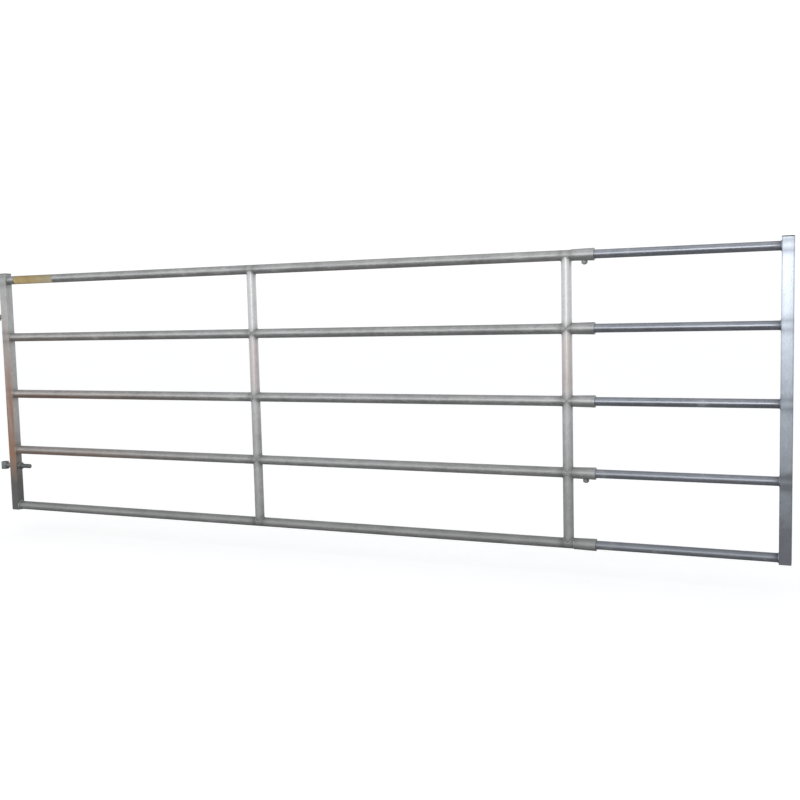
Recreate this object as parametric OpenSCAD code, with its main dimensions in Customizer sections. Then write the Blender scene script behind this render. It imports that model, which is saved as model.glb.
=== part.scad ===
// Extending field gate of galvanised steel tube, in millimetres.
// Origin: centre of the hanging stile's flat back face. +X runs along the gate, +Z is up.
// The modules draw the gate from the hanging face at x = 0, with its rails' axes at y = 0;
// placed() then carries each one to the origin.

/* [Gate] */
// Height of both end stiles, caps included
gate_h = 1100; // [900:10:1350]
// Length over both stiles, as the gate is drawn out
gate_l = 3410; // [2840:10:4100]
// Length of the fixed frame, from the hanging face to the sleeve mouths
frame_l = 2750; // [2200:10:2850]
// Height of the bottom rail's centre above the foot of the stiles
bottom_rail_rise = 20; // [20:1:60]
// Drop from the top of the stiles to the top rail's centre
top_rail_drop = 32; // [26:1:80]

/* [Stiles] */
// Width of the square stile tube
stile_w = 40; // [36:1:60]
// Wall of the stile tube
stile_wall = 2; // [1.5:0.1:4]
// Outer corner radius of the stile tube
stile_corner_r = 4; // [4:0.5:8]
// Thickness of the cap on top of a stile
cap_t = 4; // [3:0.5:8]
// Depth of the cap's plug inside the tube
cap_plug_l = 18; // [10:1:30]
// Gap all round the cap's plug
cap_fit = 0.2; // [0.1:0.1:0.5]

/* [Rails] */
// Outside diameter of the fixed rails
rail_d = 38; // [37.6:0.1:46]
// Wall of the fixed rails
rail_wall = 1.5; // [1.2:0.1:1.6]
// Outside diameter of the sliding inner rails
inner_rail_d = 32; // [26:0.5:32]
// Wall of the inner rails
inner_rail_wall = 1.5; // [1.2:0.1:3]
// Length of the inner rails, from the latch stile's face
inner_rail_l = 1510; // [1000:10:1900]

/* [Uprights] */
// Distance from the hanging face to the middle upright's centre
mid_upright_x = 1337; // [900:1:1700]
// Outside diameter of the uprights
upright_d = 38; // [30:1:38]
// Wall of the uprights
upright_wall = 1.5; // [1.2:0.1:3]
// Gap left for the weld where one tube is fitted to another
weld_gap = 0.1; // [0.05:0.05:0.3]

/* [Sleeves] */
// Length of the sleeve welded over each fixed rail's open end
sleeve_l = 80; // [60:1:120]
// Wall of a sleeve at its back edge
sleeve_wall = 1.6; // [1.2:0.1:3]
// Extra radius of a sleeve at its mouth
sleeve_flare = 1.6; // [0.4:0.1:3]
// Thickness of the guide lip in a sleeve's mouth
guide_lip_t = 4; // [3:0.5:8]
// Gap between the guide lip and the inner rail
guide_fit = 0.3; // [0.2:0.05:0.8]
// Gap between a sleeve and the end upright
sleeve_setback = 3; // [2:0.5:12]

/* [Lock bolts] */
// Diameter of a lock bolt
lock_bolt_d = 12; // [8:1:14]
// Width of a lock nut across its flats
lock_nut_af = 19; // [16:1:22]
// Height of a lock nut below the sleeve
lock_nut_h = 10; // [7:0.5:14]
// Length of a lock bolt that shows below its nut
lock_bolt_tail = 3; // [2:0.5:12]
// Distance from the sleeve mouth back to a lock bolt's axis
lock_setback = 36; // [28:1:46]
// Gap between a lock bolt and the inner rail it clamps
lock_tip_gap = 0.3; // [0.2:0.1:1]
// Gap all round a lock bolt in its holes
lock_fit = 0.2; // [0.1:0.1:0.4]

/* [Hinges] */
// Height of the lower hinge's axis above the foot of the hanging stile
lower_hinge_rise = 206; // [100:1:240]
// Drop from the top of the hanging stile to the upper hinge
upper_hinge_drop = 200; // [80:1:220]
// Distance from the hanging face to the axis of the hinge eyes
hinge_reach = 46; // [34:1:80]
// Outside diameter of a hinge eye
hinge_eye_d = 34; // [30:1:50]
// Height of a hinge eye
hinge_eye_h = 35; // [24:1:50]
// Bore of a hinge eye
hinge_bore_d = 20.5; // [16:0.5:24]
// Diameter of the threaded shank and of the welded stub
hinge_shank_d = 20; // [14:1:22]
// Length of shank that shows beyond the inner face of the stile
hinge_shank_tail = 68; // [40:1:90]
// Chamfer on the tip of the shank
hinge_tip_chamfer = 2; // [1:0.5:3]
// Width of the hinge nut across its flats
hinge_nut_af = 30; // [27:1:34]
// Thickness of the hinge nut
hinge_nut_t = 16; // [8:1:20]
// Gap all round the shank in the stile and the nut
hinge_fit = 0.2; // [0.1:0.1:0.5]

/* [Hidden] */
level_names = ["bottom", "lower", "middle", "upper", "top"];
lock_levels = ["lower", "top"];
level_count = len(level_names);
bay_count = level_count - 1;

galvanised = [0.66, 0.68, 0.69];
bright_zinc = [0.74, 0.76, 0.78];
dull_zinc = [0.5, 0.51, 0.52];
cap_grey = [0.25, 0.26, 0.27];

round_fn = 96;
cut = 1;
foot_z = -gate_h / 2;
head_z = gate_h / 2;
rail_pitch = (gate_h - bottom_rail_rise - top_rail_drop) / bay_count;
rail_bore_d = rail_d - 2 * rail_wall;
rail_end_x = frame_l - guide_lip_t - weld_gap;
end_upright_x = frame_l - sleeve_l - sleeve_setback - upright_d / 2;
lock_x = frame_l - lock_setback;
lower_hinge_z = foot_z + lower_hinge_rise;
upper_hinge_z = head_z - upper_hinge_drop;
lock_hole_d = lock_bolt_d + 2 * lock_fit;

function level_z(i) = foot_z + bottom_rail_rise + i * rail_pitch;
function level_index(name) = search([name], level_names)[0];
function across_corners(af) = af / cos(30);
function is_locked(i) = len([for (name = lock_levels) if (level_index(name) == i) i]) > 0;

// Moves a piece so that the centre of the hanging stile's back face is the origin
module placed() {
    translate([-stile_w / 2, -stile_w / 2, 0])
        children();
}

// A square with round corners, centred on the origin
module rounded_square(w, r) {
    square([w, w - 2 * r], center = true);
    square([w - 2 * r, w], center = true);
    for (x = [-1, 1], y = [-1, 1])
        translate([x * (w / 2 - r), y * (w / 2 - r)])
            circle(r, $fn = round_fn);
}

// A solid round bar along +X
module bar_x(d, l) {
    rotate([0, 90, 0])
        cylinder(d = d, h = l, $fn = round_fn);
}

// A hexagonal bar along +Z
module hex_bar(af, h) {
    cylinder(d = across_corners(af), h = h, $fn = 6);
}

// Square stile tube, open at the foot, from x to x + stile_w
module stile_tube(x) {
    translate([x + stile_w / 2, 0, foot_z])
        linear_extrude(gate_h - cap_t)
            difference() {
                rounded_square(stile_w, stile_corner_r);
                rounded_square(stile_w - 2 * stile_wall, stile_corner_r - stile_wall);
            }
}

// Cap on top of a stile, with its plug inside the tube
module stile_cap(x) {
    plug_w = stile_w - 2 * stile_wall - 2 * cap_fit;
    color(cap_grey)
        translate([x + stile_w / 2, 0, head_z - cap_t]) {
            linear_extrude(cap_t)
                rounded_square(stile_w, stile_corner_r);
            translate([0, 0, -cap_plug_l])
                linear_extrude(cap_plug_l)
                    rounded_square(plug_w, stile_corner_r - stile_wall);
        }
}

module hanging_stile() {
    color(galvanised)
        difference() {
            stile_tube(0);
            translate([-cut, 0, lower_hinge_z])
                bar_x(hinge_shank_d + 2 * hinge_fit, stile_w + 2 * cut);
        }
}

module latch_stile() {
    color(bright_zinc)
        stile_tube(gate_l - stile_w);
}

// The hole that a lock bolt passes through, under the rail at level i
module lock_hole(i) {
    translate([lock_x, 0, level_z(i) - rail_d])
        cylinder(d = lock_hole_d, h = rail_d, $fn = round_fn);
}

// Fixed rail, from the hanging stile to the guide lip of its sleeve
module rail(i) {
    color(galvanised)
        difference() {
            translate([stile_w, 0, level_z(i)])
                bar_x(rail_d, rail_end_x - stile_w);
            translate([stile_w - cut, 0, level_z(i)])
                bar_x(rail_bore_d, rail_end_x - stile_w + 2 * cut);
            if (is_locked(i))
                lock_hole(i);
        }
}

// Outline of a sleeve at level i as a solid, widening towards its mouth
module sleeve_cone(i, extra) {
    back_r = rail_d / 2 + weld_gap + sleeve_wall;
    translate([frame_l - sleeve_l, 0, level_z(i)])
        rotate([0, 90, 0])
            cylinder(r1 = back_r + extra, r2 = back_r + sleeve_flare + extra, h = sleeve_l, $fn = round_fn);
}

// Sleeve over a fixed rail's end, with the lip that guides the inner rail
module sleeve(i) {
    color(galvanised)
        difference() {
            sleeve_cone(i, 0);
            translate([frame_l - sleeve_l - cut, 0, level_z(i)])
                bar_x(rail_d + 2 * weld_gap, sleeve_l - guide_lip_t + cut);
            translate([frame_l - sleeve_l, 0, level_z(i)])
                bar_x(inner_rail_d + 2 * guide_fit, sleeve_l + cut);
            if (is_locked(i))
                lock_hole(i);
        }
}

// Short tube between two neighbouring rails, its ends cut to sit on them
module upright(x, bay) {
    low = level_z(bay - 1);
    color(galvanised)
        difference() {
            translate([x, 0, low])
                cylinder(d = upright_d, h = rail_pitch, $fn = round_fn);
            translate([x, 0, low - cut])
                cylinder(d = upright_d - 2 * upright_wall, h = rail_pitch + 2 * cut, $fn = round_fn);
            for (i = [bay - 1, bay])
                translate([x - rail_d, 0, level_z(i)])
                    bar_x(rail_d + 2 * weld_gap, 2 * rail_d);
        }
}

// Hexagon nut welded under a sleeve
module lock_nut(i) {
    sleeve_r = rail_d / 2 + weld_gap + sleeve_wall;
    color(dull_zinc)
        difference() {
            translate([lock_x, 0, level_z(i) - sleeve_r - sleeve_flare - lock_nut_h])
                hex_bar(lock_nut_af, lock_nut_h + sleeve_r / 2);
            sleeve_cone(i, weld_gap);
            translate([lock_x, 0, level_z(i) - 2 * rail_d])
                cylinder(d = lock_hole_d, h = 2 * rail_d, $fn = round_fn);
        }
}

// Bolt through the nut, the sleeve and the fixed rail, up to the inner rail
module lock_bolt(i) {
    sleeve_r = rail_d / 2 + weld_gap + sleeve_wall;
    low = level_z(i) - sleeve_r - sleeve_flare - lock_nut_h - lock_bolt_tail;
    high = level_z(i) - inner_rail_d / 2 - lock_tip_gap;
    color(dull_zinc)
        translate([lock_x, 0, low])
            cylinder(d = lock_bolt_d, h = high - low, $fn = round_fn);
}

// Eye with its bore upright, and the round stem that carries it, from the eye's axis to x = stem_end
module hinge_eye(z, stem_end) {
    difference() {
        union() {
            translate([-hinge_reach, 0, z - hinge_eye_h / 2])
                cylinder(d = hinge_eye_d, h = hinge_eye_h, $fn = round_fn);
            translate([-hinge_reach, 0, z])
                bar_x(hinge_shank_d, hinge_reach + stem_end);
        }
        translate([-hinge_reach, 0, z - hinge_eye_h / 2 - cut])
            cylinder(d = hinge_bore_d, h = hinge_eye_h + 2 * cut, $fn = round_fn);
    }
}

module upper_hinge_eye() {
    color(dull_zinc)
        hinge_eye(upper_hinge_z, 0);
}

module lower_hinge_bolt() {
    tip_x = stile_w + hinge_shank_tail - hinge_tip_chamfer;
    color(dull_zinc) {
        hinge_eye(lower_hinge_z, tip_x);
        translate([tip_x, 0, lower_hinge_z])
            rotate([0, 90, 0])
                cylinder(d1 = hinge_shank_d, d2 = hinge_shank_d - 2 * hinge_tip_chamfer,
                         h = hinge_tip_chamfer, $fn = round_fn);
    }
}

module lower_hinge_nut() {
    color(dull_zinc)
        translate([stile_w, 0, lower_hinge_z])
            rotate([0, 90, 0])
                difference() {
                    hex_bar(hinge_nut_af, hinge_nut_t);
                    translate([0, 0, -cut])
                        cylinder(d = hinge_shank_d + 2 * hinge_fit, h = hinge_nut_t + 2 * cut, $fn = round_fn);
                }
}

// Sliding rail, from inside the fixed rail to the latch stile
module inner_rail(i) {
    x = gate_l - stile_w - inner_rail_l;
    color(bright_zinc)
        difference() {
            translate([x, 0, level_z(i)])
                bar_x(inner_rail_d, inner_rail_l);
            translate([x - cut, 0, level_z(i)])
                bar_x(inner_rail_d - 2 * inner_rail_wall, inner_rail_l + 2 * cut);
        }
}

placed() hanging_stile();
placed() stile_cap(0);  // hanging_stile_cap
for (i = [0 : level_count - 1])
    placed() rail(i);
for (i = [0 : level_count - 1])
    placed() sleeve(i);
for (bay = [1 : bay_count])
    placed() upright(mid_upright_x, bay);
for (bay = [1 : bay_count])
    placed() upright(end_upright_x, bay);
for (name = lock_levels)
    placed() lock_nut(level_index(name));
for (name = lock_levels)
    placed() lock_bolt(level_index(name));
placed() upper_hinge_eye();
placed() lower_hinge_bolt();
placed() lower_hinge_nut();
for (i = [0 : level_count - 1])
    placed() inner_rail(i);
placed() latch_stile();
placed() stile_cap(gate_l - stile_w);  // latch_stile_cap
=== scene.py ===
import math
import bpy
import numpy as np
from mathutils import Matrix, Vector


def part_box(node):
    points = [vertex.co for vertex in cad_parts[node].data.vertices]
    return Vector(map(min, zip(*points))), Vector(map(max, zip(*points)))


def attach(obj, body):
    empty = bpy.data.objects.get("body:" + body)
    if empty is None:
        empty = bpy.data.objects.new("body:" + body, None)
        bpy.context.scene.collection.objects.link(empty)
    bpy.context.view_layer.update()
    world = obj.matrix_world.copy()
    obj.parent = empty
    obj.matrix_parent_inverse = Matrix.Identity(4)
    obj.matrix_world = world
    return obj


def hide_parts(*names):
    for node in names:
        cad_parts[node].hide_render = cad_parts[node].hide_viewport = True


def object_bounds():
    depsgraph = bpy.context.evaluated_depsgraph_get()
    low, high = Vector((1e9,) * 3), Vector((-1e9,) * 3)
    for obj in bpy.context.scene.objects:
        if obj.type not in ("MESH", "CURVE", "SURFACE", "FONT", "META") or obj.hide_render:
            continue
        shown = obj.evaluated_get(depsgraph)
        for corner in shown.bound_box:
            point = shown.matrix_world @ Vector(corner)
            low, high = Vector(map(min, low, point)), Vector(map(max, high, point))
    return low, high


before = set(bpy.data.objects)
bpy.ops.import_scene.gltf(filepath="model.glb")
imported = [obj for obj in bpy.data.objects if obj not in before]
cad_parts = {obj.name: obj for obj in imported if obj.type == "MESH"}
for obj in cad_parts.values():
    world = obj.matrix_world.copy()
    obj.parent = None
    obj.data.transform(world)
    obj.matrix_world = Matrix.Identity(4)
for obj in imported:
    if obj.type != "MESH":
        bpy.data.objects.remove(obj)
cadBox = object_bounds()
print("gate: frame loaded")

levels = ["bottom", "lower", "middle", "upper", "top"]
lockLevels = ["lower", "top"]
bays = [1, 2, 3, 4]
fullTurn = 2 * math.pi


# places, all read from the frame

def lowHigh(node):
    low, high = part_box(node)
    return np.array(low), np.array(high)


def middleOf(node):
    low, high = lowHigh(node)
    return (low + high) / 2


hangLow, hangHigh = lowHigh("hanging_stile")
latchLow = lowHigh("latch_stile")[0]
gateY = (hangLow[1] + hangHigh[1]) / 2        # the plane that every tube's axis lies in
railZ = {name: middleOf(name + "_rail")[2] for name in levels}
railRadius = (lowHigh("top_rail")[1][2] - lowHigh("top_rail")[0][2]) / 2
innerRadius = (lowHigh("top_inner_rail")[1][2] - lowHigh("top_inner_rail")[0][2]) / 2
uprightRadius = (lowHigh("mid_upright_1")[1][0] - lowHigh("mid_upright_1")[0][0]) / 2
midUprightX = middleOf("mid_upright_1")[0]
endUprightX = middleOf("end_upright_1")[0]
lockX = middleOf("top_lock_bolt")[0]
upperHingeZ = middleOf("upper_hinge_eye")[2]
lowerHingeZ = middleOf("lower_hinge_bolt")[2]


# shader maths

class Value:
    # wraps one socket, so that sums on it add Math nodes
    def __init__(self, tree, socket):
        self.tree = tree
        self.socket = socket

    def math(self, kind, first, second=None):
        node = self.tree.nodes.new("ShaderNodeMath")
        node.operation = kind
        for place, value in enumerate((first, second)):
            if value is not None:
                put(self.tree, value, node.inputs[place])
        return Value(self.tree, node.outputs[0])

    def __add__(self, other):
        return self.math("ADD", self, other)

    def __radd__(self, other):
        return self.math("ADD", other, self)

    def __sub__(self, other):
        return self.math("SUBTRACT", self, other)

    def __rsub__(self, other):
        return self.math("SUBTRACT", other, self)

    def __mul__(self, other):
        return self.math("MULTIPLY", self, other)

    def __rmul__(self, other):
        return self.math("MULTIPLY", other, self)

    def __neg__(self):
        return self.math("MULTIPLY", self, -1.0)

    def atLeast(self, other):
        return self.math("MAXIMUM", self, other)

    def atMost(self, other):
        return self.math("MINIMUM", self, other)

    def held(self):
        return self.atLeast(0.0).atMost(1.0)

    def band(self, low, high):
        # 0 below low, 1 above high, straight between; low may be the larger
        return ((self - low) * (1.0 / (high - low))).held()


def put(tree, value, socket):
    if isinstance(value, Value):
        tree.links.new(value.socket, socket)
    else:
        socket.default_value = value


class Finish:
    # one material: a Principled shader and the nodes that feed it
    def __init__(self, name):
        self.material = bpy.data.materials.new(name)
        self.material.use_nodes = True
        self.tree = self.material.node_tree
        self.shader = self.tree.nodes["Principled BSDF"]
        self.place = self.node("ShaderNodeTexCoord", output="Object")
        facing = self.split(self.node("ShaderNodeNewGeometry", output="Normal"))
        self.faceY, self.faceZ = facing[1:]
        places = self.split(self.place)
        self.x, self.z = places[0], places[2]

    def node(self, kind, settings=None, inputs=None, output=0):
        node = self.tree.nodes.new(kind)
        for key, value in (settings or {}).items():
            setattr(node, key, value)
        for key, value in (inputs or {}).items():
            put(self.tree, value, node.inputs[key])
        return Value(self.tree, node.outputs[output])

    def split(self, vector):
        node = self.tree.nodes.new("ShaderNodeSeparateXYZ")
        self.tree.links.new(vector.socket, node.inputs[0])
        return [Value(self.tree, out) for out in node.outputs]

    def stretched(self, scale):
        return self.node("ShaderNodeMapping", inputs={"Vector": self.place, "Scale": scale})

    def noise(self, scale, detail=4.0, rough=0.55, along=None, distortion=0.0):
        at = self.place if along is None else self.stretched(along)
        wanted = {"Vector": at, "Scale": scale, "Detail": detail,
                  "Roughness": rough, "Distortion": distortion}
        return self.node("ShaderNodeTexNoise", inputs=wanted)

    def cells(self, scale, along):
        # one flat random colour to each cell
        wanted = {"Vector": self.stretched(along), "Scale": scale}
        return self.node("ShaderNodeTexVoronoi", {"feature": "F1"}, wanted, "Color")

    def mark(self, name):
        # a point attribute that the mesh maker worked out
        return self.node("ShaderNodeAttribute", {"attribute_name": name}, output="Fac")

    def mix(self, amount, first, second):
        wanted = {0: amount, 6: first, 7: second}
        return self.node("ShaderNodeMix", {"data_type": "RGBA"}, wanted, output=2)

    def bump(self, height, strength, distance):
        wanted = {"Height": height, "Strength": strength, "Distance": distance}
        return self.node("ShaderNodeBump", inputs=wanted)

    def feed(self, **sockets):
        for key, value in sockets.items():
            put(self.tree, value, self.shader.inputs[key.replace("_", " ")])
        return self.material


def rgb(red, green, blue):
    return (red, green, blue, 1.0)


# finishes

footZ = hangLow[2]

zinc = {
    "light": rgb(0.760, 0.765, 0.755),     # washed faces of the fixed frame
    "dark": rgb(0.400, 0.405, 0.400),
    "shadeAndGrime": rgb(0.105, 0.103, 0.097),     # painted shade on undersides and at joints, and the darkening towards the feet
    "bloom": rgb(0.72, 0.73, 0.73),        # white zinc bloom
    "rust": rgb(0.30, 0.155, 0.085),
    "stain": rgb(0.42, 0.245, 0.165),
    "blush": rgb(0.66, 0.49, 0.44),
    "spangle": 105.0,                       # crystals per metre
    "roughness": 0.40,
}

brightZinc = {
    "light": rgb(0.550, 0.580, 0.640),
    "dark": rgb(0.310, 0.330, 0.370),
    # colour of the painted shade and grime
    "shadeAndGrime": rgb(0.100, 0.103, 0.115),
    "bloom": rgb(0.90, 0.92, 0.95),
    "rust": rgb(0.30, 0.170, 0.100),
    "spangle": 95.0,
    "roughness": 0.27,
}

# a brighter, bluer copy of the inner rails' zinc for the latch stile: painted reflection
latchLitZinc = dict(brightZinc, light=rgb(0.840, 0.910, 0.990), dark=rgb(0.440, 0.490, 0.570))
# a brighter copy of the frame zinc for the uprights: painted highlight
uprightLitZinc = dict(zinc, light=rgb(0.880, 0.885, 0.880), dark=rgb(0.500, 0.505, 0.500), roughness=0.31)

hardwareZinc = {
    "light": rgb(0.430, 0.440, 0.440),
    "dark": rgb(0.235, 0.240, 0.240),
    # colour of the painted shade and grime
    "shadeAndGrime": rgb(0.070, 0.068, 0.062),
    "bloom": rgb(0.62, 0.63, 0.62),
    "rust": rgb(0.27, 0.130, 0.065),
    "spangle": 160.0,
    "roughness": 0.46,
}


def galvanised(name, look, along, warmth=0.0, footShade=0.5, blush=0.0,
               railStain=0.0, jointShade=0.55, footTop=0.50):
    # zinc crystals, drawing lines along the tube, white bloom, and darkening: painted shade on undersides
    # and at joints, and towards the foot part splash dirt, part painted shade
    f = Finish(name)
    # two sizes of crystal laid over each other, flat in the surface: they show as tone and gloss only
    coarse = f.split(f.cells(look["spangle"], along))[0]
    fine = f.split(f.cells(look["spangle"] * 2.6, along))[1]
    crystal = coarse * 0.55 + fine * 0.45
    cloud = f.noise(3.2, 6.0, 0.62)
    patch = f.noise(17.0, 6.0, 0.6, distortion=0.4)
    speck = f.noise(420.0, 3.0, 0.6)
    lines = f.noise(95.0, 4.0, 0.6, along=tuple(0.035 if a < 1 else 1.0 for a in along))
    tone = crystal * 0.42 + cloud * 0.95 + patch * 0.75 + lines * 0.45 + speck * 0.34 - 0.98
    colour = f.mix(tone.held(), look["dark"], look["light"])

    bloom = (patch.band(0.60, 0.74) * cloud.band(0.44, 0.62) * (0.55 + speck * 0.6)).held()
    colour = f.mix(bloom * 0.5, colour, look["bloom"])

    # painted shade: faces that look down are darker
    under = (-f.faceZ).band(0.15, 0.95) * (0.55 + cloud * 0.5)
    height = f.z - footZ
    # darker towards the foot: part splash dirt, part painted shade for the darker reflections low down
    foot = height.band(footTop, 0.02) * footShade * (0.55 + patch * 0.7)
    # painted shade at joints, in bores and in crevices, read from the mesh's corner mark
    corner = f.mark("corner") * (0.35 + patch * 0.9)
    # the painted shade and the grime mixed together
    shadeAndGrime = (under * 0.62 + foot + corner * jointShade).held()
    colour = f.mix(shadeAndGrime * 0.86, colour, look["shadeAndGrime"])

    if warmth:
        # a thin brown stain that runs down the stile from the middle rail to the lower hinge
        low = height.band(0.12, 0.27)
        top = height.band(1.02, 0.62)
        runs = f.noise(55.0, 4.0, 0.6, along=(1.0, 1.0, 0.07))
        front = (-f.faceY).band(0.2, 0.8)
        stain = low * top * (0.45 + 0.55 * height.band(0.75, 0.45)) * (0.45 + 0.55 * runs.band(0.30, 0.62))
        colour = f.mix((stain * (0.12 + front * 0.88) * warmth).held(), colour, look["stain"])
    if blush:
        # a faint pink cast on the third bay up
        bay = height.band(0.545, 0.60) * height.band(0.806, 0.76)
        colour = f.mix((bay * (0.5 + cloud * 0.7) * blush).held(), colour, look["blush"])
    if railStain:
        # brown film that fades along the middle rails, away from the hanging stile
        reach = f.x.band(1.15, 0.25) * height.band(0.12, 0.30) * height.band(0.90, 0.62)
        below = 0.25 + 0.75 * (-f.faceZ).band(-0.3, 0.6)
        colour = f.mix((reach * below * (0.5 + patch * 0.8) * railStain).held(), colour, look["stain"])

    freckles = f.noise(150.0, 4.0, 0.7).band(0.70, 0.78) * cloud.band(0.50, 0.66)
    colour = f.mix((freckles * 0.55 + f.mark("corner") * freckles).held(), colour, look["rust"])

    rough = look["roughness"] + crystal * 0.12 + patch * 0.16 + shadeAndGrime * 0.22 + bloom * 0.25 - 0.08
    metal = (1.0 - shadeAndGrime * 0.35 - bloom * 0.30).held()
    relief = patch * 0.8 + speck * 0.35 + lines * 0.25
    return f.feed(Base_Color=colour, Roughness=rough.held(), Metallic=metal,
                  Normal=f.bump(relief, 0.5, 0.0010))


def weldMetal(name, look):
    # beads are lumpier, duller and darker than the tube; their sides and undersides carry painted shade,
    # with some soot
    f = Finish(name)
    cloud = f.noise(60.0, 5.0, 0.65)
    speck = f.noise(520.0, 4.0, 0.65)
    tone = (cloud * 1.1 + speck * 0.5 - 0.35).held()
    colour = f.mix(tone, look["dark"], look["light"])
    # painted shade on the bead's sides and underside, with some soot
    sootAndShade = (f.mark("edge") * (0.35 + cloud * 0.8) + (-f.faceZ).band(0.1, 0.9) * 0.35).held()
    colour = f.mix(sootAndShade * 0.75, colour, look["shadeAndGrime"])
    rough = (look["roughness"] + 0.05 + speck * 0.2 + sootAndShade * 0.2).held()
    return f.feed(Base_Color=colour, Roughness=rough, Metallic=(1.0 - sootAndShade * 0.4).held(),
                  Normal=f.bump(cloud + speck * 0.5, 0.5, 0.0008))


def capPlastic():
    # dark moulded plastic, chalked on top by the sun
    f = Finish("capPlastic")
    cloud = f.noise(40.0, 5.0, 0.6)
    speck = f.noise(900.0, 2.0, 0.5)
    chalk = (f.faceZ.band(0.4, 1.0) * (0.3 + cloud * 0.7)).held()
    colour = f.mix((cloud * 0.9).held(), rgb(0.020, 0.021, 0.023), rgb(0.050, 0.051, 0.054))
    colour = f.mix(chalk * 0.55, colour, rgb(0.130, 0.132, 0.136))
    rough = (0.48 + chalk * 0.25 + speck * 0.12).held()
    f.feed(Base_Color=colour, Roughness=rough, Normal=f.bump(speck + cloud * 0.5, 0.25, 0.0003))
    return f.material


def labelFilm():
    # plain ochre film, faded, with dirt at its rim and small scuffs down to the zinc
    f = Finish("labelFilm")
    cloud = f.noise(22.0, 5.0, 0.6)
    speck = f.noise(600.0, 3.0, 0.6)
    scuffs = f.noise(130.0, 5.0, 0.7, along=(0.3, 1.0, 1.0)).band(0.66, 0.76)
    colour = f.mix(cloud.band(0.3, 0.7), rgb(0.330, 0.235, 0.095), rgb(0.470, 0.355, 0.155))
    colour = f.mix((f.mark("edge") * (0.4 + speck * 0.5)).held(), colour, rgb(0.120, 0.095, 0.060))
    faded = (f.x - hangHigh[0]).band(0.13, 0.27) * (0.6 + cloud * 0.7)
    colour = f.mix((faded * 0.8).held(), colour, rgb(0.350, 0.330, 0.250))
    colour = f.mix(scuffs * 0.7, colour, rgb(0.330, 0.325, 0.305))
    rough = (0.42 + cloud * 0.2 + scuffs * 0.2).held()
    return f.feed(Base_Color=colour, Roughness=rough, Normal=f.bump(cloud + speck * 0.3, 0.2, 0.0003))


alongX, alongZ = (0.55, 1.0, 1.0), (1.0, 1.0, 0.55)
finishes = {
    "rail": galvanised("galvanisedRail", zinc, alongX, railStain=0.8),
    "upright": galvanised("galvanisedUpright", uprightLitZinc, alongZ,
                          footShade=0.62, footTop=0.66, blush=0.32),
    # the hanging stile darkens strongly towards its foot: part dirt, part painted shade
    "hangingStile": galvanised("galvanisedHangingStile", zinc, alongZ,
                               warmth=1.15, footShade=1.6, footTop=0.40),
    # stronger painted shade where the inner rails meet the latch stile
    "innerRail": galvanised("brightInnerRail", brightZinc, alongX, jointShade=1.0),
    # the latch stile is darkened over its lower part: painted shade
    "latchStile": galvanised("brightLatchStile", latchLitZinc, alongZ, footShade=1.2, footTop=0.80),
    "hardware": galvanised("galvanisedHardware", hardwareZinc, (1.0, 1.0, 1.0), footShade=0.2),
    "weld": weldMetal("weldZinc", zinc),
    "brightWeld": weldMetal("weldBrightZinc", brightZinc),
    "cap": capPlastic(),
    "label": labelFilm(),
}
print("gate: finishes made")


# mesh making

class Shell:
    # grids of points joined into one mesh; each grid closes on itself both ways, or has flat ends
    def __init__(self):
        self.points, self.quads, self.marks = [], [], []
        self.count = 0

    def add(self, grid, marks=0.0, closeAcross=True):
        # grid is rings x around x 3; each ring is closed, and the last ring joins the first if closeAcross
        rings, around = grid.shape[:2]
        a, b = np.meshgrid(np.arange(rings if closeAcross else rings - 1), np.arange(around), indexing="ij")
        a2, b2 = (a + 1) % rings, (b + 1) % around
        corners = [a * around + b, a2 * around + b, a2 * around + b2, a * around + b2]
        quads = np.stack(corners, -1).reshape(-1, 4)
        flat = grid.reshape(-1, 3)
        if not closeAcross:
            # flat ends close with a point in the middle of the first and the last ring
            ends = np.array([grid[0].mean(0), grid[-1].mean(0)])
            flat = np.concatenate([flat, ends])
        triangles = np.zeros((0, 3), int)
        if not closeAcross:
            k = np.arange(around)
            first, last = rings * around, rings * around + 1
            base = (rings - 1) * around
            lowEnd = np.stack([np.full(around, first), k, (k + 1) % around], -1)
            highEnd = np.stack([np.full(around, last), base + (k + 1) % around, base + k], -1)
            triangles = np.concatenate([lowEnd, highEnd])
        if self.volume(flat, quads, triangles) < 0:
            quads, triangles = quads[:, ::-1], triangles[:, ::-1]
        shade = np.broadcast_to(np.asarray(marks, float), (rings, around)).reshape(-1)
        if not closeAcross:
            shade = np.concatenate([shade, [shade[0], shade[-1]]])
        self.points.append(flat)
        self.marks.append(shade)
        self.quads += (quads + self.count).tolist() + (triangles + self.count).tolist()
        self.count += len(flat)

    def volume(self, flat, quads, triangles):
        total = 0.0
        for corners in (quads[:, [0, 1, 2]], quads[:, [0, 2, 3]], triangles):
            if len(corners):
                p = flat[corners]
                total += np.einsum("ij,ij->i", p[:, 0], np.cross(p[:, 1], p[:, 2])).sum()
        return total

    def piece(self, name, body, finish, replaced=(), markName="corner", sharp=32.0):
        mesh = bpy.data.meshes.new(name)
        mesh.from_pydata(np.concatenate(self.points).tolist(), [], self.quads)
        marks = mesh.attributes.new(markName, "FLOAT", "POINT")
        marks.data.foreach_set("value", np.concatenate(self.marks).astype(np.float32))
        mesh.shade_smooth()
        mesh.set_sharp_from_angle(angle=math.radians(sharp))
        mesh.materials.append(finishes[finish])
        made = bpy.data.objects.new(name, mesh)
        bpy.context.scene.collection.objects.link(made)
        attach(made, body)
        if replaced:
            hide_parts(*replaced)
        return made


def softNoise(seed, count, waves=9):
    # a closed wandering line: a sum of a few sines with seeded heights and phases
    draw = np.random.default_rng(seed)
    t = np.linspace(0, fullTurn, count, endpoint=False)
    total = np.zeros(count)
    for k in range(1, waves + 1):
        total += draw.normal() / k * np.sin(k * t + draw.uniform(0, fullTurn))
    return total / 1.6


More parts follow.
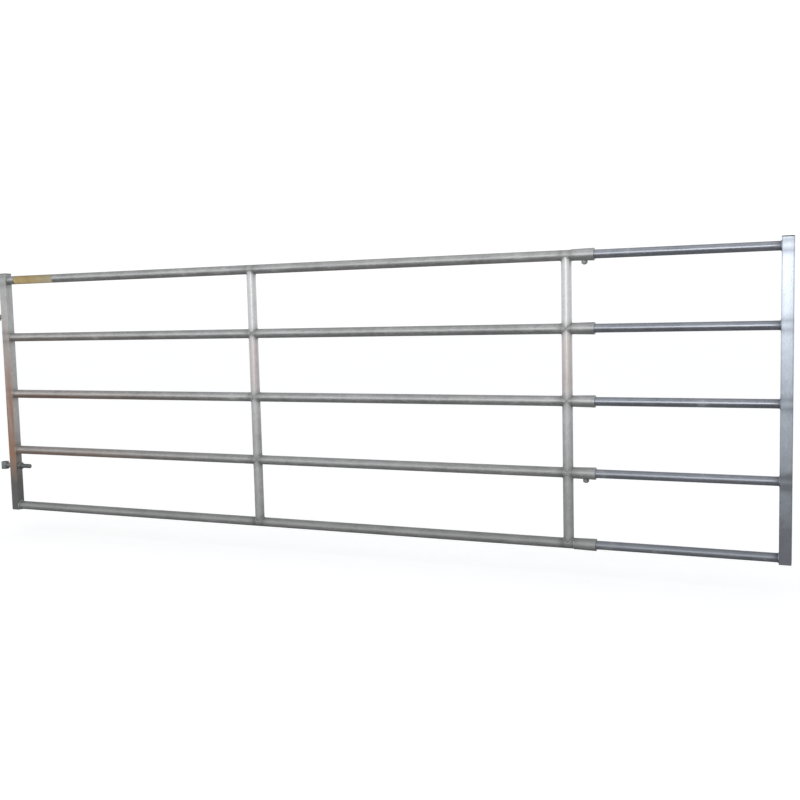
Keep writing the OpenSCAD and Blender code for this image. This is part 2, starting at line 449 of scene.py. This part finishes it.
def circleOf(count):
    t = np.linspace(0, fullTurn, count, endpoint=False)
    return np.cos(t), np.sin(t)


def spread(start, end, near, step, fineStep, reach):
    # places from start to end, step apart, and fineStep apart within reach of each place in near
    places = [np.arange(start, end, step), [start, end]]
    for at in near:
        places.append(np.arange(at - reach, at + reach, fineStep))
    joined = np.unique(np.round(np.concatenate(places), 5))
    return joined[(joined >= start) & (joined <= end)]


def closeness(places, near, reach):
    # 1 at each place in near, fading to 0 at reach away
    gap = np.min(np.abs(np.asarray(places)[:, None] - np.asarray(near)[None, :]), axis=1)
    return np.clip(1 - gap / reach, 0, 1) ** 2


# tubes

tube = {
    "around": 56, "railWall": 0.0015, "innerWall": 0.0015,
    "step": 0.05, "fineStep": 0.004, "jointShadeReach": 0.035,
}


def tubeAlongX(shell, start, end, z, radius, wall, near, phase=0.0):
    # outer wall from start to end and the bore back again: r(x) = radius, at angle t round the axis
    cos, sin = circleOf(tube["around"])
    out = spread(start, end, near, tube["step"], tube["fineStep"], tube["jointShadeReach"])
    places = np.concatenate([out, [end, start]])
    radii = np.concatenate([np.full(len(out), radius), [radius - wall] * 2])
    grid = np.zeros((len(places), tube["around"], 3))
    grid[..., 0] = places[:, None]
    grid[..., 1] = gateY + radii[:, None] * cos
    grid[..., 2] = z + radii[:, None] * sin
    # mark for painted shade: near each joint, and all over the bore
    marks = np.concatenate([closeness(out, near, tube["jointShadeReach"]), [1.0, 1.0]])
    shell.add(grid, marks[:, None])


for level in levels:
    low, high = lowHigh(level + "_rail")
    near = [low[0], midUprightX - uprightRadius, midUprightX + uprightRadius,
            endUprightX - uprightRadius, endUprightX + uprightRadius]
    shell = Shell()
    tubeAlongX(shell, low[0], high[0], railZ[level], railRadius, tube["railWall"], near)
    shell.piece(level + "Rail", "frame", "rail", [level + "_rail"])

    low, high = lowHigh(level + "_inner_rail")
    shell = Shell()
    tubeAlongX(shell, low[0], high[0], railZ[level], innerRadius, tube["innerWall"], [high[0]])
    shell.piece(level + "InnerRail", "extension", "innerRail", [level + "_inner_rail"])
print("gate: rails made")

upright = {"wall": 0.0015, "fit": 0.0001, "rings": 26, "around": 64}


def saddleTube(shell, x, lowZ, highZ):
    # each end follows the rail: its height over the rail's axis is sqrt(R^2 - (r sin t)^2)
    cos, sin = circleOf(upright["around"])

    def seat(radius):
        reach = railRadius + upright["fit"]
        return np.sqrt(np.maximum(reach ** 2 - (radius * sin) ** 2, 0.0))

    # rings stand closer together towards the ends
    share = 0.5 - 0.5 * np.cos(np.pi * np.linspace(0, 1, upright["rings"]))
    rows, marks = [], []
    for radius, order in ((uprightRadius, share), (uprightRadius - upright["wall"], [1.0, 0.0])):
        for s in order:
            bottom, top = lowZ + seat(radius), highZ - seat(radius)
            height = bottom + (top - bottom) * s
            rows.append(np.stack([x + radius * cos, gateY + radius * sin, height], -1))
            # mark for painted shade near each end, where the upright sits on a rail
            gap = min(s, 1 - s) * (highZ - lowZ)
            marks.append(max(0.0, 1 - gap / tube["jointShadeReach"]) ** 2)
    shell.add(np.array(rows), np.array(marks)[:, None])


for bay in bays:
    lowZ, highZ = railZ[levels[bay - 1]], railZ[levels[bay]]
    for label, x in (("mid", midUprightX), ("end", endUprightX)):
        shell = Shell()
        saddleTube(shell, x, lowZ, highZ)
        shell.piece(f"{label}Upright{bay}", "frame", "upright", [f"{label}_upright_{bay}"])
print("gate: uprights made")


# square stiles and their caps

stile = {
    "corner": 0.004, "wall": 0.002, "perCorner": 9,
    "step": 0.03, "fineStep": 0.004, "fineReach": 0.04, "jointShadeReach": 0.034, "shadeAndGrime": 0.9,
}
cap = {"plugFit": 0.0004, "rim": 0.0016, "crown": 0.0006, "crownSteps": ((0.80, 0.0003), (0.45, 0.0))}


def squareOutline(width, corner):
    # points round a square with round corners, with its sides as straight runs
    n = stile["perCorner"]
    half = width / 2 - corner
    points = []
    for k, (sx, sy) in enumerate(((1, 1), (-1, 1), (-1, -1), (1, -1))):
        t = k * math.pi / 2 + np.linspace(0, math.pi / 2, n)
        points.append(np.stack([sx * half + corner * np.cos(t), sy * half + corner * np.sin(t)], -1))
    return np.concatenate(points)


def stileTube(shell, low, high, near):
    # the outline is carried up the outside and down the inside
    x, width = (low[0] + high[0]) / 2, high[0] - low[0]
    outer = squareOutline(width, stile["corner"])
    inner = squareOutline(width - 2 * stile["wall"], stile["corner"] - stile["wall"])
    heights = spread(low[2], high[2], near, stile["step"], stile["fineStep"], stile["fineReach"])

    def ringAt(outline, z):
        return np.column_stack([outline[:, 0] + x, outline[:, 1] + gateY, np.full(len(outline), z)])

    rows = [ringAt(outer, z) for z in heights]
    rows += [ringAt(inner, z) for z in (high[2], low[2])]
    # mark for painted shade near each rail joint and all over the inside
    marks = np.concatenate([closeness(heights, near, stile["jointShadeReach"]) * stile["shadeAndGrime"], [1.0, 1.0]])
    shell.add(np.array(rows), marks[:, None])


def stileCap(shell, low, high, plateLow):
    # plate with a rounded rim and a shallow crown, and the plug under it
    x, width = (low[0] + high[0]) / 2, high[0] - low[0]
    outline = squareOutline(width, stile["corner"])
    plug = squareOutline(width - 2 * stile["wall"] - cap["plugFit"], stile["corner"] - stile["wall"])
    rim = cap["rim"]
    turn = np.linspace(0, math.pi / 2, 6)
    rows = [(plug, 1.0, low[2]), (plug, 1.0, plateLow), (outline, 1.0, plateLow)]
    for t in turn:
        inset = rim * (1 - math.cos(t))
        rows.append((outline, 1 - 2 * inset / width, high[2] - rim + rim * math.sin(t) - cap["crown"]))
    for share, drop in cap["crownSteps"]:
        rows.append((outline, share, high[2] - drop))
    grid = []
    for line, s, z in rows:
        grid.append(np.column_stack([line[:, 0] * s + x, line[:, 1] * s + gateY, np.full(len(line), z)]))
    shell.add(np.array(grid), closeAcross=False)


railHeights = [railZ[name] for name in levels]
for name, body, finish, slot in (("hanging", "frame", "hangingStile", "galvanised"),
                                 ("latch", "extension", "latchStile", "bright_galvanised")):
    low, high = lowHigh(name + "_stile")
    shell = Shell()
    radius = railRadius if name == "hanging" else innerRadius
    near = [z + s * radius for z in railHeights for s in (-1, 1)]
    stileTube(shell, low, high, near)
    shell.piece(name + "Stile", body, finish, [name + "_stile"])
    capLow, capHigh = lowHigh(name + "_stile_cap")
    shell = Shell()
    stileCap(shell, capLow, capHigh, high[2])
    shell.piece(name + "StileCap", body, "cap", [name + "_stile_cap"])
print("gate: stiles made")


# sleeves

sleeve = {
    "around": 72, "lip": 0.004, "fit": 0.0001, "round": 0.0012, "guide": 0.0003, "wall": 0.0016,
    "insidePoints": 3,                      # the last points of the profile, which lie inside
}

for level in levels:
    low, high = lowHigh(level + "_sleeve")
    mouth = (high[2] - low[2]) / 2
    back = railRadius + sleeve["fit"] + sleeve["wall"]
    edge = sleeve["round"]
    turn = np.linspace(0, math.pi / 2, 6)
    length = high[0] - low[0]
    profile = [(low[0], back - 0.0006), (low[0] + 0.0005, back)]
    profile += [(low[0] + length * s, back + (mouth - back) * s) for s in (0.08, 0.3, 0.6, 0.9)]
    profile += [(high[0] - edge + edge * math.sin(t), mouth - edge * (1 - math.cos(t))) for t in turn]
    profile += [(high[0], innerRadius + sleeve["guide"] + 0.0008)]
    profile += [(high[0] - 0.0008, innerRadius + sleeve["guide"])]
    profile += [(high[0] - sleeve["lip"], innerRadius + sleeve["guide"])]
    profile += [(high[0] - sleeve["lip"], railRadius + sleeve["fit"]), (low[0], railRadius + sleeve["fit"])]
    cos, sin = circleOf(sleeve["around"])
    places = np.array(profile)
    grid = np.zeros((len(places), sleeve["around"], 3))
    grid[..., 0] = places[:, 0][:, None]
    grid[..., 1] = gateY + places[:, 1][:, None] * cos
    grid[..., 2] = railZ[level] + places[:, 1][:, None] * sin
    # mark for painted shade near the welded end and inside the mouth
    marks = closeness(places[:, 0], [low[0]], 0.03) * 0.6
    marks[-sleeve["insidePoints"]:] += 0.8
    shell = Shell()
    shell.add(grid, np.clip(marks, 0, 1)[:, None])
    shell.piece(level + "Sleeve", "frame", "rail", [level + "_sleeve"])
print("gate: sleeves made")


# nuts and bolts

thread = {"pitch": 0.0025, "depth": 0.0013, "perPitch": 8, "around": 40}
nut = {"around": 96, "faceShare": 0.955, "cutBack": 30.0, "lead": 0.0012, "leadDepth": 0.0010}


def axesFor(direction):
    # two directions across a part's axis
    if direction == "x":
        return np.array([1.0, 0, 0]), np.array([0, 1.0, 0]), np.array([0, 0, 1.0])
    return np.array([0, 0, 1.0]), np.array([1.0, 0, 0]), np.array([0, 1.0, 0])


def turned(shell, origin, direction, profile, around=64, marks=0.0):
    # a closed profile of (distance along, radius) pairs, turned round the axis
    axis, across, over = axesFor(direction)
    cos, sin = circleOf(around)
    path = np.array(profile)
    ring = across[None, :] * cos[:, None] + over[None, :] * sin[:, None]
    grid = origin + axis * path[:, 0][:, None, None] + ring[None] * path[:, 1][:, None, None]
    shell.add(grid, marks)


def hexNut(shell, origin, direction, flats, height, bore):
    # r(t) = (flats / 2) / cos(t within its sector), with the corners cut back at both ends
    axis, across, over = axesFor(direction)
    t = np.linspace(0, fullTurn, nut["around"], endpoint=False)
    sector = (t % (math.pi / 3)) - math.pi / 6
    reach = flats / 2 / np.cos(sector)
    face = flats / 2 * nut["faceShare"]
    drop = (reach - face) * math.tan(math.radians(nut["cutBack"]))
    same = np.ones(nut["around"])
    rows = [(0 * same, bore * same), (0 * same, face * same), (drop, reach),
            (height - drop, reach), (height * same, face * same),
            (height * same, (bore + nut["lead"]) * same),
            ((height - nut["leadDepth"]) * same, bore * same)]
    ring = across[None, :] * np.cos(t)[:, None] + over[None, :] * np.sin(t)[:, None]
    grid = np.array([origin + axis * along[:, None] + ring * radius[:, None] for along, radius in rows])
    shell.add(grid)


def threadedRod(shell, origin, direction, start, end, radius, chamfer):
    # r(x, t) = radius - depth * |saw(x / pitch - t / turn)|, smoothed at crest and root, tapered at the tip
    axis, across, over = axesFor(direction)
    around, pitch = thread["around"], thread["pitch"]
    places = np.arange(start, end, pitch / thread["perPitch"])
    places = np.append(places, end)
    t = np.linspace(0, fullTurn, around, endpoint=False)
    saw = np.abs(((places[:, None] / pitch - t[None, :] / fullTurn) % 1.0) * 2 - 1)
    saw = np.clip((saw - 0.12) / 0.76, 0, 1)
    limit = radius - np.clip(places[:, None] - (end - chamfer), 0, None)
    radii = np.minimum(radius - thread["depth"] * saw, limit)
    ring = across[None, :] * np.cos(t)[:, None] + over[None, :] * np.sin(t)[:, None]
    grid = origin + axis * places[:, None, None] + ring[None] * radii[..., None]
    # mark for painted shade in the thread's roots
    shell.add(grid, np.clip(saw * 0.55, 0, 1), closeAcross=False)


hinge = {
    "shank": 0.010, "bore": 0.01025, "round": 0.0028, "rim": 0.0012,
    "neck": 0.0035, "neckLength": 0.009, "stemAround": 56,
}


def hingeEye(shell, node, z, stemEnd):
    # a ring with rounded rims, and a stem that swells where it meets the ring
    low, high = lowHigh(node)
    radius = (high[1] - low[1]) / 2
    half = (high[2] - low[2]) / 2
    centre = np.array([low[0] + radius, gateY, z])
    turn = np.linspace(0, math.pi / 2, 6)
    edge, rim = hinge["round"], hinge["rim"]
    profile = [(-half + rim, hinge["bore"]), (-half, hinge["bore"] + rim)]
    profile += [(-half + edge * (1 - math.cos(t)), radius - edge + edge * math.sin(t)) for t in turn]
    profile += [(half - edge * (1 - math.sin(t)), radius - edge * (1 - math.cos(t))) for t in turn]
    profile += [(half, hinge["bore"] + rim), (half - rim, hinge["bore"])]
    # mark for painted shade at the rims of the bore
    boreShade = np.zeros(len(profile))
    boreShade[[0, 1, -2, -1]] = 0.7
    turned(shell, centre, "z", profile, 72, boreShade[:, None])
    start = centre[0] + hinge["bore"] + 0.0016
    face = centre[0] + radius
    neckPlaces = np.linspace(start, face + hinge["neckLength"], 14)
    places = np.concatenate([neckPlaces, [stemEnd - 0.0005, stemEnd]])
    swell = hinge["neck"] * np.exp(-np.clip(places - face, 0, None) / (hinge["neckLength"] / 3))
    radii = hinge["shank"] + np.where(places < face, hinge["neck"], swell)
    radii[-2:] = hinge["shank"]
    cos, sin = circleOf(hinge["stemAround"])
    grid = np.zeros((len(places), hinge["stemAround"], 3))
    grid[..., 0] = places[:, None]
    grid[..., 1] = gateY + radii[:, None] * cos
    grid[..., 2] = z + radii[:, None] * sin
    # mark for painted shade where the stem meets the ring
    shell.add(grid, closeness(places, [face], 0.012)[:, None] * 0.8, closeAcross=False)


shell = Shell()
hingeEye(shell, "upper_hinge_eye", upperHingeZ, hangLow[0])
shell.piece("upperHingeEye", "frame", "hardware", ["upper_hinge_eye"])

boltHigh = lowHigh("lower_hinge_bolt")[1]
nutLow, nutHigh = lowHigh("lower_hinge_nut")
shell = Shell()
hingeEye(shell, "lower_hinge_bolt", lowerHingeZ, hangHigh[0] - 0.002)
rodAxis = np.array([0, gateY, lowerHingeZ])
threadedRod(shell, rodAxis, "x", hangHigh[0] - 0.004, boltHigh[0], hinge["shank"], 0.003)
shell.piece("lowerHingeBolt", "frame", "hardware", ["lower_hinge_bolt"])

shell = Shell()
nutStart = np.array([nutLow[0], gateY, lowerHingeZ])
hexNut(shell, nutStart, "x", nutHigh[1] - nutLow[1], nutHigh[0] - nutLow[0], 0.0102)
shell.piece("lowerHingeNut", "frame", "hardware", ["lower_hinge_nut"])

lock = {
    "radius": 0.006, "flats": 0.019, "bore": 0.0062, "tipCut": 0.0012, "play": 0.0003,
    "seat": 0.0010, "overlap": 0.0015, "around": 40,
}

for level in lockLevels:
    boltLow, boltTop = lowHigh(level + "_lock_bolt")
    lockLow = lowHigh(level + "_lock_nut")[0]
    sleeveFace = railZ[level] - (railRadius + sleeve["wall"] + lock["seat"])
    height = sleeveFace - lockLow[2]
    shell = Shell()
    # the nut hangs under the sleeve, and its top runs a little way into it
    nutStart = np.array([lockX, gateY, lockLow[2]])
    hexNut(shell, nutStart, "z", lock["flats"], height + lock["overlap"], lock["bore"])
    shell.piece(level + "LockNut", "frame", "hardware", [level + "_lock_nut"])
    shell = Shell()
    cos, sin = circleOf(lock["around"])
    steps = np.array([0.0, 0.0008, 0.004, boltTop[2] - boltLow[2]])
    radii = lock["radius"] - np.array([lock["tipCut"], lock["play"], lock["play"], lock["play"]])
    grid = np.zeros((len(steps), lock["around"], 3))
    grid[..., 0] = lockX + radii[:, None] * cos
    grid[..., 1] = gateY + radii[:, None] * sin
    grid[..., 2] = boltLow[2] + steps[:, None]
    shell.add(grid, closeAcross=False)
    shell.piece(level + "LockBolt", "frame", "hardware", [level + "_lock_bolt"])
print("gate: hardware made")


# weld beads

bead = {
    "radius": 0.0023, "ripple": 0.16, "wander": 0.13, "perMetre": 420, "section": 12, "along": 132,
    "standOff": 0.12, "lift": 0.9, "widest": 0.0193,
}


def beadAlong(shell, path, outward, radius, seed):
    # a round section carried along a closed path: r(s) = radius * (1 + ripple * |sin| + wander)
    count = len(path)
    step = np.roll(path, -1, 0) - np.roll(path, 1, 0)
    tangent = step / np.linalg.norm(step, axis=1)[:, None]
    across = outward - (outward * tangent).sum(1)[:, None] * tangent
    across /= np.linalg.norm(across, axis=1)[:, None]
    over = np.cross(tangent, across)
    length = np.linalg.norm(np.roll(path, -1, 0) - path, axis=1).sum()
    ripples = max(8, round(length * bead["perMetre"] / 2))
    s = np.linspace(0, math.pi * ripples, count, endpoint=False)
    wander = np.clip(softNoise(seed, count), -1, 1)
    size = radius * (1 - bead["ripple"] * np.abs(np.sin(s)) + bead["wander"] * wander)
    cos, sin = circleOf(bead["section"])
    ring = across[:, None, :] * cos[None, :, None] + over[:, None, :] * sin[None, :, None]
    grid = path[:, None, :] + ring * size[:, None, None]
    # mark for painted shade, with some soot, on the bead's sides away from its outward face
    marks = np.broadcast_to(np.clip(1 - 1.6 * np.clip(cos, 0, 1), 0, 1)[None, :], grid.shape[:2])
    shell.add(grid, marks)


def ringBead(shell, x, z, radius, size, seed, lean):
    # round a tube where it meets a flat face or a wider tube
    cos, sin = circleOf(bead["along"])
    path = np.stack([np.full(len(cos), x), gateY + radius * cos, z + radius * sin], -1)
    outward = np.stack([np.full(len(cos), lean), cos, sin], -1)
    beadAlong(shell, path, outward, size, seed)


def saddleBead(shell, x, z, side, size, seed):
    # along the line where an upright sits on a rail: z = +-sqrt(R^2 - (r sin t)^2)
    cos, sin = circleOf(bead["along"] + 28)
    reach = uprightRadius + size * bead["standOff"]
    under = np.maximum((railRadius + size * bead["standOff"]) ** 2 - (reach * sin) ** 2, 0)
    rise = np.sqrt(under + (size * bead["lift"]) ** 2)
    aside = np.clip(reach * sin, -bead["widest"], bead["widest"])
    path = np.stack([x + reach * cos, gateY + aside, z + side * rise], -1)
    outward = np.stack([cos, sin * 0.9, np.full(len(cos), -side * 0.2)], -1)
    beadAlong(shell, path, outward, size, seed)


shell = Shell()
brightShell = Shell()
for k, level in enumerate(levels):
    z = railZ[level]
    ringBead(shell, hangHigh[0] + 0.0006, z, railRadius + 0.0005, bead["radius"], 11 + k, 0.8)
    ringBead(shell, lowHigh(level + "_sleeve")[0][0] - 0.0002, z, railRadius + 0.0006, 0.0016, 31 + k, -0.8)
    ringBead(brightShell, latchLow[0] - 0.0006, z, innerRadius + 0.0005, bead["radius"], 51 + k, -0.8)
    for j, x in enumerate((midUprightX, endUprightX)):
        if k < len(levels) - 1:
            saddleBead(shell, x, z, 1, bead["radius"], 71 + 10 * j + k)
        if k > 0:
            saddleBead(shell, x, z, -1, bead["radius"], 91 + 10 * j + k)
ringBead(shell, hangLow[0] - 0.0004, upperHingeZ, hinge["shank"] + 0.0008, 0.0025, 5, -0.8)
shell.piece("frameWelds", "frame", "weld", markName="edge", sharp=60.0)
brightShell.piece("extensionWelds", "extension", "brightWeld",
                  markName="edge", sharp=60.0)
print("gate: welds made")


# plain label on the top rail

label = {
    "start": 0.046, "length": 0.222, "lift": 0.00012, "thick": 0.00018,
    "from": 118.0, "to": 246.0,              # degrees round the rail
    "dirtReach": 0.004, "across": 40, "along": 90,
}


def labelPatch(shell):
    # a sheet bent round the rail, as two skins a thickness apart that meet at the rim
    start = hangHigh[0] + label["start"]
    u = np.linspace(0, 1, label["along"])
    v = np.radians(np.linspace(label["from"], label["to"], label["across"]))
    uu, vv = np.meshgrid(u, v, indexing="ij")
    edgeU = np.minimum(uu, 1 - uu) * label["length"]
    edgeV = np.minimum(vv - v[0], v[-1] - vv) * railRadius
    marks = np.clip(1 - np.minimum(edgeU, edgeV) / label["dirtReach"], 0, 1)
    x = start + label["length"] * uu
    skins = []
    for radius in (railRadius + label["lift"], railRadius + label["lift"] + label["thick"]):
        skins.append(np.stack([x, gateY + radius * np.cos(vv), railZ["top"] + radius * np.sin(vv)], -1))
    # each ring runs along the outer skin and back along the inner one, so both ends are thin flat strips
    grid = np.concatenate([skins[1], skins[0][::-1]], axis=0).transpose(1, 0, 2)
    shell.add(grid, np.concatenate([marks, marks[::-1]], axis=0).T, closeAcross=False)


shell = Shell()
labelPatch(shell)
shell.piece("railLabel", "frame", "label", markName="edge")
print("gate: label made")


# studio

studio = {
    "eye": (3.484, -3.560, 0.331),
    "yaw": -23.19, "pitch": -5.07, "roll": -1.38,      # degrees
    "lens": 44.75,
    "floorDrop": 0.10,
}


def makeCamera():
    yaw, pitch, roll = (math.radians(studio[k]) for k in ("yaw", "pitch", "roll"))
    ahead = Vector((math.sin(yaw) * math.cos(pitch), math.cos(yaw) * math.cos(pitch), math.sin(pitch)))
    right = Vector((math.cos(yaw), -math.sin(yaw), 0.0))
    up = right.cross(ahead)
    right, up = right * math.cos(roll) + up * math.sin(roll), up * math.cos(roll) - right * math.sin(roll)
    data = bpy.data.cameras.new("view")
    data.lens = studio["lens"]
    data.sensor_width = 36.0
    data.clip_start, data.clip_end = 0.05, 200.0
    camera = bpy.data.objects.new("view", data)
    bpy.context.scene.collection.objects.link(camera)
    facing = Matrix((right, up, -ahead)).transposed().to_4x4()
    camera.matrix_world = Matrix.Translation(studio["eye"]) @ facing
    bpy.context.scene.camera = camera


def makeWorld():
    # a plain studio: bright round the walls, a little less overhead, dark below the floor line
    world = bpy.data.worlds.new("studio")
    bpy.context.scene.world = world
    world.use_nodes = True
    tree = world.node_tree
    place = tree.nodes.new("ShaderNodeTexCoord")
    parts = tree.nodes.new("ShaderNodeSeparateXYZ")
    tree.links.new(place.outputs["Generated"], parts.inputs[0])
    height = (Value(tree, parts.outputs[2]) * 0.5 + 0.5).held()
    ramp = tree.nodes.new("ShaderNodeValToRGB")
    stops = [(0.0, rgb(0.13, 0.13, 0.13)), (0.36, rgb(0.17, 0.17, 0.17)), (0.415, rgb(0.22, 0.22, 0.23)),
             (0.455, rgb(0.46, 0.465, 0.48)), (0.49, rgb(0.98, 0.99, 1.0)), (0.60, rgb(0.97, 0.98, 1.0)),
             (0.70, rgb(0.50, 0.505, 0.515)), (1.0, rgb(0.40, 0.405, 0.415))]
    while len(ramp.color_ramp.elements) < len(stops):
        ramp.color_ramp.elements.new(0.5)
    for element, (at, colour) in zip(ramp.color_ramp.elements, stops):
        element.position = at
        element.color = colour
    tree.links.new(height.socket, ramp.inputs[0])
    # the front wall is brighter than the back one
    front = (-Value(tree, parts.outputs[1])).held() * 0.35 + 1.05
    # seen directly, the studio walls are plain white; only reflections and bounce light use the ramp
    seen = tree.nodes.new("ShaderNodeLightPath").outputs["Is Camera Ray"]
    blend = tree.nodes.new("ShaderNodeMix")
    blend.data_type = "RGBA"
    blend.inputs[7].default_value = rgb(1.0, 1.0, 1.0)
    tree.links.new(seen, blend.inputs[0])
    tree.links.new(ramp.outputs[0], blend.inputs[6])
    tree.links.new(blend.outputs[2], tree.nodes["Background"].inputs[0])
    tree.links.new(front.atLeast(Value(tree, seen)).socket, tree.nodes["Background"].inputs[1])


def makeLight(name, spot, target, size, power):
    data = bpy.data.lights.new(name, "AREA")
    data.shape = "RECTANGLE"
    data.size, data.size_y = size
    data.energy = power
    light = bpy.data.objects.new(name, data)
    bpy.context.scene.collection.objects.link(light)
    light.location = spot
    light.rotation_mode = "QUATERNION"
    light.rotation_quaternion = (Vector(target) - Vector(spot)).to_track_quat("-Z", "Y")


def makeFloor():
    mesh = bpy.data.meshes.new("floor")
    z, reach = cadBox[0][2] - studio["floorDrop"], 60.0
    corners = [(-reach, -reach, z), (reach, -reach, z), (reach, reach, z), (-reach, reach, z)]
    mesh.from_pydata(corners, [], [(0, 1, 2, 3)])
    floor = bpy.data.objects.new("floor", mesh)
    bpy.context.scene.collection.objects.link(floor)
    finish = Finish("paleFloor")
    fleck = finish.noise(6.0, 3.0, 0.5)
    pale = finish.mix(fleck, rgb(0.90, 0.90, 0.90), rgb(0.94, 0.94, 0.94))
    finish.feed(Base_Color=pale, Roughness=0.9, Emission_Color=rgb(1.0, 1.0, 1.0), Emission_Strength=0.47)
    mesh.materials.append(finish.material)
    floor.visible_glossy = False


gateMiddle = (np.array(cadBox[0]) + np.array(cadBox[1])) / 2
makeCamera()
makeWorld()
makeFloor()
makeLight("key", (2.95, -5.6, 1.20), (2.6, 0.0, 0.45), (1.5, 1.8), 20.0)
makeLight("overhead", (1.7, -0.6, 3.6), gateMiddle, (4.5, 2.4), 9.0)
bpy.context.scene.view_settings.view_transform = "Standard"
print("gate: studio made")
